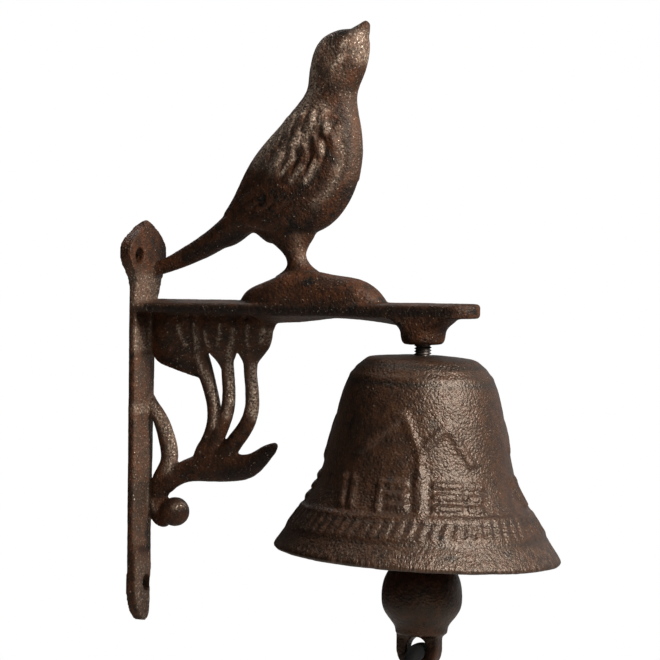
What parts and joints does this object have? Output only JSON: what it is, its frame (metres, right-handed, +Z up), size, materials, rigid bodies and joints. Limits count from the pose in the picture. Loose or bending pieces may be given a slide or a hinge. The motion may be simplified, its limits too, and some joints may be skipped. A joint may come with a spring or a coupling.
{
  "type": "wall bell",
  "caption": "Cast iron wall bell: a perched songbird on a scrolled bracket, a flared bell hung from the arm, and a clapper with a knotted pull cord.",
  "frame": {"origin": "in the wall plane, midway between the two screw holes of the wall plate", "axes": "+X out from the wall along the arm, +Z up, +Y to the left of a viewer who faces the wall"},
  "size_m": [0.1624, 0.0987, 0.3554],
  "materials": {
    "iron": "rust-brown waxed casting with black patches",
    "steel": "dulled plain steel",
    "cord": "black braided cord"
  },
  "bodies": {
    "bracket": {"wall_bracket": "iron", "bell": "iron", "eye_bolt": "steel", "crown_washer": "steel", "crown_nut": "steel"},
    "clapper": {"clapper": "iron", "pull_cord": "cord", "tang_knot": "cord", "cord_end_knot": "cord"}
  },
  "joints": [
    {"name": "clapper_swing", "type": "hinge", "parent": "bracket", "child": "clapper", "pos_m": [0.11502, 0.00335, 0.00138], "axis": [0, 1, 0], "range_deg": [-30, 36]}
  ]
}
